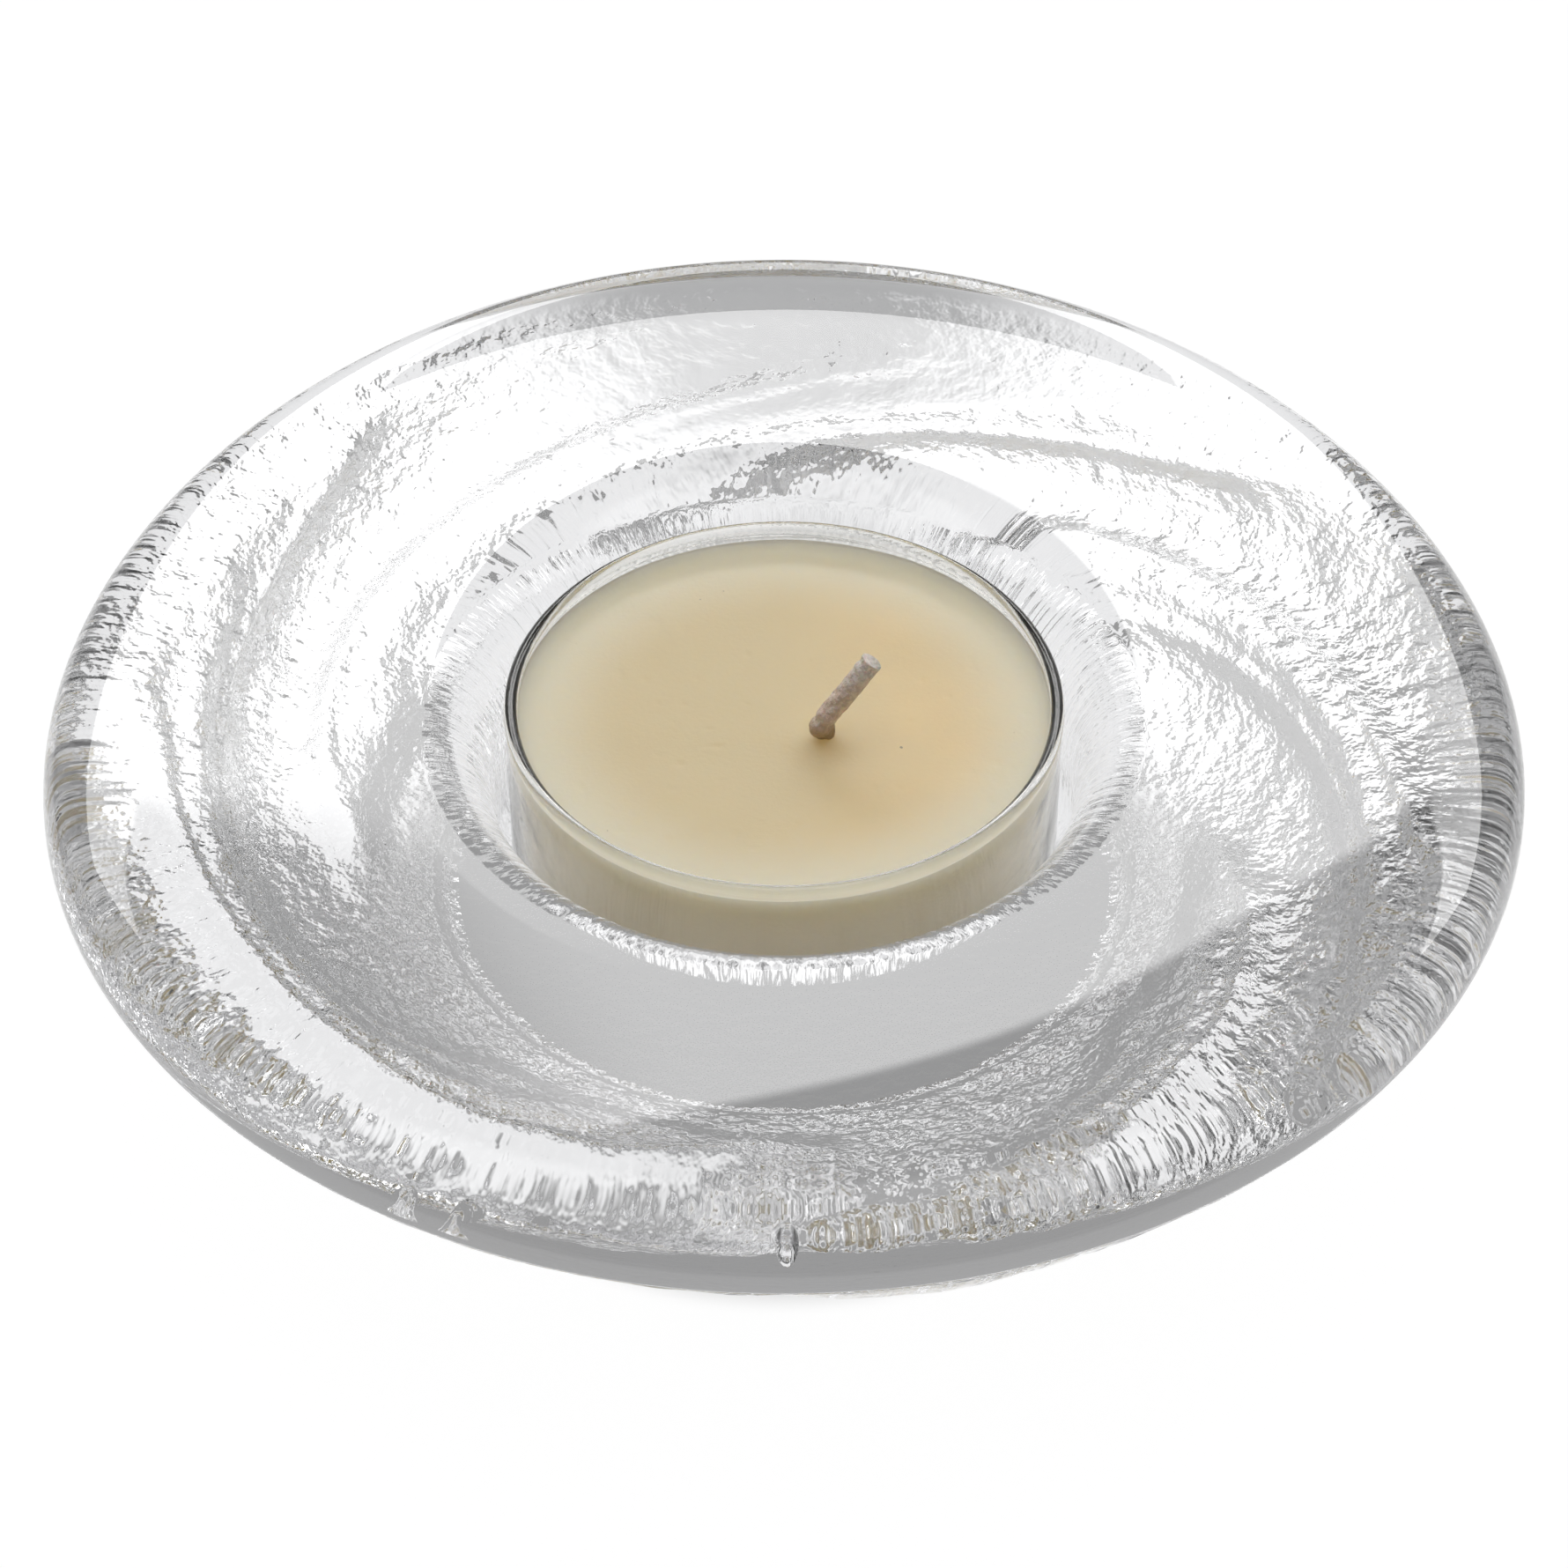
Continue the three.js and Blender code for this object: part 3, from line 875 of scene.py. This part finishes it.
@dataclass
class GlassHolder:
    """The cast-glass disc with its well, its rounded rim and its pressed underside."""

    disc_radius: float = 53.0
    height: float = 30.0
    base_radius: float = 23.4
    foot_round: float = 1.6
    widest_height: float = 24.9
    ring_outer_radius: float = 46.5
    ring_fall: float = 0.27
    lip_width: float = 5.1
    lip_extra_width: float = 5.5
    lip_drop: float = 7.0
    crest_rise: float = 0.5
    crest_share: float = 0.3
    crest_reach: float = 0.35
    crest_slope: float = 0.15
    rim_slope: float = 0.12
    squareness: float = 0.62
    floor_fillet: float = 2.0
    floor_height: float = 15.5
    bowl_flatness: float = 0.48
    bowl_rise: float = 0.31
    bowl_fullness: float = 0.97
    bowl_shoulder: float = 0.83
    skin_from_base: tuple[float, float] = (0.5, 2.5)
    skin_below_widest: float = 1.6
    well_radius: float = 20.75
    segments: int = 720
    swirl: SwirlRelief = field(default_factory=SwirlRelief)
    skin: MouldSkin = field(default_factory=MouldSkin)
    bubble: TrappedBubble = field(default_factory=TrappedBubble)
    finish: CastGlass = field(default_factory=CastGlass)

    def underside(self) -> Array:
        """The underside's section from the base's edge, round the foot, to the widest circle."""
        foot = (self.base_radius + self.foot_round, self.foot_round)
        reach, rise = self.disc_radius - foot[0], self.widest_height - foot[1]
        curve = bend(foot, (foot[0] + self.bowl_flatness * reach, foot[1] + self.bowl_rise * rise),
                     (foot[0] + self.bowl_fullness * reach, foot[1] + self.bowl_shoulder * rise),
                     (self.disc_radius, self.widest_height), 80)
        return np.concatenate([quarter_round((self.base_radius, 0.0), foot, 4, Leaves.LEVEL), curve])

    def plain_rim(self) -> Array:
        """The rim at the front: it falls and rounds over from the ring's edge."""
        widest = (self.disc_radius, self.widest_height)
        ring = (self.ring_outer_radius, self.height - self.ring_fall)
        reach = self.squareness * (self.disc_radius - ring[0])
        corner = (self.disc_radius, self.widest_height + self.squareness * (ring[1] - self.widest_height))
        return bend(widest, corner, (ring[0] + reach, ring[1] - self.rim_slope * reach), ring, 18)

    def crested_rim(self) -> Array:
        """The rim at the back: it rises to a low crest before it rounds over."""
        widest = (self.disc_radius, self.widest_height)
        ring = (self.ring_outer_radius, self.height - self.ring_fall)
        inset = self.crest_share * (self.disc_radius - ring[0])
        crest = (self.disc_radius - inset, ring[1] + self.crest_rise)
        corner = (self.disc_radius, self.widest_height + self.squareness * (crest[1] - self.widest_height))
        reach = self.crest_reach * (crest[0] - ring[0])
        return np.concatenate([
            bend(widest, corner, (crest[0] + self.squareness * inset, crest[1]), crest, 12),
            bend(crest, (crest[0] - reach, crest[1]),
                 (ring[0] + reach, ring[1] + self.crest_slope * reach), ring, 6),
        ])

    def well(self, lip_width: float) -> Array:
        """The section from the ring's outer edge over the lip and down the well.

        Args:
            lip_width: radial width of the lip's rounding.

        Returns:
            Its points, without the ring's outer edge.
        """
        lip = (self.well_radius + lip_width, self.height)
        wall = (self.well_radius, self.height - self.lip_drop)
        foot = (self.well_radius, self.floor_height + self.floor_fillet)
        return np.concatenate([
            self.dome(lip, 10),
            quarter_round(lip, wall, 14, Leaves.LEVEL),
            straight(wall, foot, 4),
            quarter_round(foot, (foot[0] - self.floor_fillet, self.floor_height), 4, Leaves.UPRIGHT),
        ])

    def dome(self, lip: Sequence[float], steps: int) -> Array:
        """The ring's gentle dome, level at the lip, without its first point."""
        share = np.linspace(0.0, 1.0, steps + 1)[1:]
        radius = self.ring_outer_radius + (lip[0] - self.ring_outer_radius) * share
        return np.stack([radius, lip[1] - self.ring_fall * (1.0 - share) ** 2], 1)

    def build(self) -> bpy.types.Object:
        """Turns the section, presses the swirl into it and dresses it."""
        underside = np.concatenate([[(self.base_radius, 0.0)], self.underside()])
        front = np.concatenate([underside, self.plain_rim(), self.well(self.lip_width)])
        back = np.concatenate([underside, self.crested_rim(),
                               self.well(self.lip_width + self.lip_extra_width)])
        bearing = np.arange(self.segments) * (FULL_TURN / self.segments)
        towards_back = np.maximum(0.0, np.sin(bearing)) ** 2
        radius = front[:, :1] * (1.0 - towards_back) + back[:, :1] * towards_back
        height = front[:, 1:] * (1.0 - towards_back) + back[:, 1:] * towards_back
        turn = np.broadcast_to(bearing, radius.shape)
        below = np.zeros_like(radius)
        below[:len(underside)] = 1.0
        share = self.swirl.share(radius)
        depth = self.swirl.channel_depth(turn, share) * below
        fade = smooth_rise(radius, self.base_radius + self.skin_from_base[0],
                           self.base_radius + self.skin_from_base[1]) * below
        fade = fade * (1.0 - smooth_rise(height, self.widest_height - self.skin_below_widest,
                                         self.widest_height))
        depth = depth + (self.skin.relief(radius, turn, height) + self.skin.inset) * fade
        steepness = share * share * math.pi / 2
        radius = radius - depth * np.sin(steepness)
        height = height + depth * np.cos(steepness)
        grid = np.stack([radius * np.cos(turn), radius * np.sin(turn), height], -1)
        points, faces = capped_grid(grid, (0.0, 0.0, 0.0), (0.0, 0.0, self.floor_height))
        points, faces = self.bubble.add_to(points, faces)
        piece = mesh_piece("glass_disc", points, faces)
        piece.data.materials.append(self.finish.material())
        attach(piece, "holder")
        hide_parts("glass_holder")
        return piece


# ---------------------------------------------------------------- the tealight


@dataclass
class TealightCup:
    """The clear moulded cup with its rolled rim."""

    radius: float = 20.0
    base: float = 15.8
    height: float = 16.3
    wall: float = 0.7
    bead: float = 0.3
    bead_height: float = 0.6
    bead_inset: float = 0.12
    bead_lean: float = 0.1
    bead_reach: float = 0.5
    bead_handle: float = 0.2
    inner_reach: float = 0.8
    inner_handle: float = 0.3
    inner_corner: float = 0.8
    corner: float = 1.2
    floor: float = 0.7
    draft: float = 0.5
    segments: int = 192
    finish: ClearCup = field(default_factory=ClearCup)

    def section(self) -> Array:
        """Radius and height from the middle of the foot, up outside and down inside."""
        foot, shoulder = self.radius - self.draft, self.height - self.bead_height
        half = (self.wall + self.bead) / 2
        crown = (self.radius - half, self.height)
        outside = (self.radius - self.bead_inset, shoulder - self.bead_reach)
        under_bead, inner_bead = shoulder - self.bead_handle, self.radius - 2 * half
        inside, below_bead = self.radius - self.wall, shoulder - self.inner_handle
        top, bottom = shoulder - self.inner_reach, self.floor + self.inner_corner
        return np.concatenate([
            [(0.0, 0.0), (foot * 0.5, 0.0), (foot - self.corner, 0.0)],
            quarter_round((foot - self.corner, 0.0), (foot, self.corner), 6, Leaves.LEVEL),
            straight((foot, self.corner), outside, 8),
            bend(outside, (self.radius - self.bead_lean, under_bead),
                 (self.radius, under_bead), (self.radius, shoulder), 4),
            quarter_round((self.radius, shoulder), crown, 6, Leaves.UPRIGHT),
            quarter_round(crown, (inner_bead, shoulder), 6, Leaves.LEVEL),
            bend((inner_bead, shoulder), (inner_bead, below_bead), (inside, below_bead), (inside, top), 4),
            straight((inside, top), (foot - self.wall, bottom), 8),
            quarter_round((foot - self.wall, bottom), (foot - self.wall - self.inner_corner, self.floor), 4,
                          Leaves.UPRIGHT),
            [(foot * 0.5, self.floor), (0.0, self.floor)],
        ]) + (0.0, self.base)

    def build(self) -> bpy.types.Object:
        """Turns the cup and dresses it."""
        piece = mesh_piece("clear_cup", *turned_solid(self.section(), self.segments))
        piece.data.materials.append(self.finish.material())
        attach(piece, "tealight")
        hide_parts("tealight_cup")
        return piece


@dataclass
class WaxFill:
    """The wax: it climbs the cup's wall and the wick a little, and its top is not quite level."""

    top_radius: float = 19.24
    bottom_radius: float = 18.75
    base: float = 16.8
    top: float = 30.3
    edge_rise: float = 0.42
    edge_width: float = 1.1
    mound: float = 0.75
    mound_radius: float = 3.4
    mound_fall: float = 3.2
    corner: float = 0.6
    speck_full: float = 0.95
    wick_place: tuple[float, float] = (2.9, -2.0)
    ripple: float = 0.05
    ripple_size: float = 5.0
    speck_depth: float = 0.05
    speck_size: float = 0.9
    speck_share: float = 0.78
    rings: int = 72
    segments: int = 240
    finish: CandleWax = field(default_factory=CandleWax)

    def top_height(self, across: Array, deep: Array) -> Array:
        """Height of the wax's top above the table at places on it."""
        radius = np.hypot(across, deep)
        edge = np.clip((radius - self.top_radius + self.edge_width) / self.edge_width, 0.0, 1.0)
        reach = np.hypot(across - self.wick_place[0], deep - self.wick_place[1]) / self.mound_radius
        place = np.stack([across, deep, np.zeros_like(across)], -1)
        specks = smooth_rise(lattice_noise(place / self.speck_size, 11), self.speck_share, self.speck_full)
        return (self.top + self.edge_rise * edge**2 + self.mound * np.exp(-self.mound_fall * reach**2)
                + self.ripple * lattice_noise(place / self.ripple_size, 13) - self.speck_depth * specks)

    def build(self) -> bpy.types.Object:
        """Makes the wax and dresses it."""
        share = np.linspace(1.0, 0.0, self.rings + 1)[:-1]
        bearing = np.arange(self.segments) * (FULL_TURN / self.segments)
        across = self.top_radius * share[:, None] * np.cos(bearing)
        deep = self.top_radius * share[:, None] * np.sin(bearing)
        top = np.stack([across, deep, self.top_height(across, deep)], -1)
        wall = []
        for height, radius in ((self.base, self.bottom_radius - self.corner),
                               (self.base + self.corner, self.bottom_radius)):
            wall.append(np.stack([radius * np.cos(bearing), radius * np.sin(bearing),
                                  np.full_like(bearing, height)], -1))
        grid = np.concatenate([np.stack(wall), top])
        middle = float(self.top_height(np.zeros(1), np.zeros(1))[0])
        points, faces = capped_grid(grid, (0.0, 0.0, self.base), (0.0, 0.0, middle))
        piece = mesh_piece("wax", points, faces)
        piece.data.materials.append(self.finish.material())
        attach(piece, "tealight")
        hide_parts("wax_fill")
        return piece


@dataclass
class BraidedWick:
    """The waxed cotton wick: upright in the wax, bent at the surface, leaning and frayed at its tip."""

    radius: float = 0.84
    place: tuple[float, float] = (2.9, -2.0)
    base: float = 16.8
    bare_from: float = 31.0
    rise: float = 6.5
    lean: float = 3.4
    kink: float = 0.7
    strands: int = 4
    lay: float = 1.5
    strand_depth: float = 0.11
    fray: float = 0.16
    fray_length: float = 1.6
    fuzz: float = 0.05
    fuzz_round: float = 1.6
    fuzz_along: float = 2.2
    tip_dome: float = 0.25
    crease: float = 0.16
    crease_place: float = 16.3
    crease_width: float = 0.22
    steps: int = 260
    sides: int = 40
    finish: WaxedCotton = field(default_factory=WaxedCotton)

    def route(self) -> Array:
        """Points along the middle of the wick."""
        knots = np.array([
            (0.0, 0.0, self.base),
            (0.0, 0.0, (self.base + self.bare_from) / 2),
            (0.0, 0.0, self.bare_from),
            (-self.kink / 2, -self.kink, self.bare_from + 0.2 * self.rise),
            (0.3 * self.lean, -self.kink / 2, self.bare_from + 0.5 * self.rise),
            (self.lean, self.kink / 2, self.bare_from + self.rise),
        ])
        knots = np.concatenate([[2 * knots[0] - knots[1]], knots, [2 * knots[-1] - knots[-2]]])
        points = []
        for place in np.linspace(0.0, len(knots) - 3, self.steps, endpoint=False):
            first = int(place)
            share = place - first
            before, start, end, after = knots[first:first + 4]
            points.append(0.5 * (2 * start + (end - before) * share
                                 + (2 * before - 5 * start + 4 * end - after) * share**2
                                 + (3 * start - before - 3 * end + after) * share**3))
        return np.array(points) + (*self.place, 0.0)

    def build(self) -> bpy.types.Object:
        """Sweeps the braided section along the route and dresses it."""
        route = self.route()
        along = np.gradient(route, axis=0)
        along /= np.linalg.norm(along, axis=1)[:, None]
        side = np.cross(along, (0.0, 1.0, 0.0))
        side /= np.linalg.norm(side, axis=1)[:, None]
        over = np.cross(side, along)
        length = np.concatenate([[0.0], np.cumsum(np.linalg.norm(np.diff(route, axis=0), axis=1))])
        turn = np.arange(self.sides) * (FULL_TURN / self.sides)
        twist = length[:, None] * FULL_TURN / (self.lay * self.strands)
        crossing = np.maximum(np.abs(np.cos(self.strands * (turn + twist) / 2)),
                              np.abs(np.cos(self.strands * (turn - twist) / 2)))
        ribbon = np.stack(np.broadcast_arrays(self.fuzz_round * np.cos(turn), self.fuzz_round * np.sin(turn),
                                              length[:, None] * self.fuzz_along), -1)
        to_tip = smooth_rise(length[:, None], length[-1] - self.fray_length, length[-1])
        crease = np.exp(-((length[:, None] - self.crease_place) / self.crease_width) ** 2)
        radius = self.radius - self.strand_depth * (1.0 - crossing) - self.fuzz - self.crease * crease
        radius = radius + (self.fuzz + self.fray * to_tip) * lattice_noise(ribbon, 17)
        radius = np.minimum(radius, self.radius)
        grid = (route[:, None, :] + radius[..., None] * (np.cos(turn)[:, None] * side[:, None, :]
                                                         + np.sin(turn)[:, None] * over[:, None, :]))
        points, faces = capped_grid(grid, route[0], route[-1] - self.tip_dome * along[-1])
        piece = mesh_piece("cotton_wick", points, faces)
        piece.data.materials.append(self.finish.material())
        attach(piece, "tealight")
        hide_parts("wick")
        return piece


@dataclass
class WickFoot:
    """The stamped tin foot that holds the wick up, with a ribbed plate and a crimped neck."""

    place: tuple[float, float] = (2.9, -2.0)
    base: float = 16.8
    bore: float = 1.15
    plate_radius: float = 6.2
    plate: float = 0.4
    neck_wall: float = 0.35
    neck_height: float = 4.0
    rib_depth: float = 0.08
    ribs: int = 24
    crimp: float = 0.06
    crimps: int = 6
    edge: float = 0.15
    edge_slope: float = 0.25
    fillet: float = 0.3
    crimp_start: float = 0.5
    segments: int = 144
    finish: StampedTin = field(default_factory=StampedTin)

    def build(self) -> bpy.types.Object:
        """Turns the foot, presses its ribs and crimps, and dresses it."""
        neck = self.bore + self.neck_wall
        rim, shoulder = self.plate_radius - self.edge, self.plate_radius - self.edge_slope
        section = np.concatenate([
            straight((self.bore, 0.0), (rim, 0.0), 8),
            quarter_round((rim, 0.0), (self.plate_radius, self.edge), 3, Leaves.LEVEL),
            quarter_round((self.plate_radius, self.edge), (shoulder, self.plate), 3, Leaves.UPRIGHT),
            straight((shoulder, self.plate), (neck + self.fillet, self.plate), 8),
            quarter_round((neck + self.fillet, self.plate), (neck, self.plate + self.fillet), 3,
                          Leaves.LEVEL),
            straight((neck, self.plate + self.fillet), (neck, self.neck_height), 8),
            straight((neck, self.neck_height), (self.bore, self.neck_height), 1),
            straight((self.bore, self.neck_height), (self.bore, 0.0), 8),
        ])
        turn = np.arange(self.segments) * (FULL_TURN / self.segments)
        radius = np.repeat(section[:, :1], self.segments, 1)
        height = np.repeat(section[:, 1:], self.segments, 1)
        on_plate = (height > self.plate - 0.01) & (height < self.plate + 0.01)
        height = height - on_plate * self.rib_depth * np.abs(np.sin(self.ribs * turn / 2))
        outside = (height > self.plate + self.crimp_start) & (radius > neck - 0.01)
        radius = radius - outside * self.crimp * (0.5 + 0.5 * np.cos(self.crimps * turn))
        grid = np.stack([radius * np.cos(turn) + self.place[0], radius * np.sin(turn) + self.place[1],
                         height + self.base], -1)
        faces = turned_faces(len(section), self.segments)
        last = (len(section) - 1) * self.segments
        for step in range(self.segments):
            after = (step + 1) % self.segments
            faces.append([last + step, last + after, after, step])
        piece = mesh_piece("tin_foot", grid.reshape(-1, 3), faces)
        piece.data.materials.append(self.finish.material())
        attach(piece, "tealight")
        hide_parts("wick_foot")
        return piece


def main() -> None:
    """Builds the studio and every piece, and reports each one."""
    StudioCamera().build()
    Studio().build()
    for label, maker in (("glass holder", GlassHolder()), ("cup", TealightCup()), ("wax", WaxFill()),
                         ("wick", BraidedWick()), ("wick foot", WickFoot())):
        piece = maker.build()
        log.info("%s: %d points", label, len(piece.data.vertices))


if __name__ == "__main__":
    main()
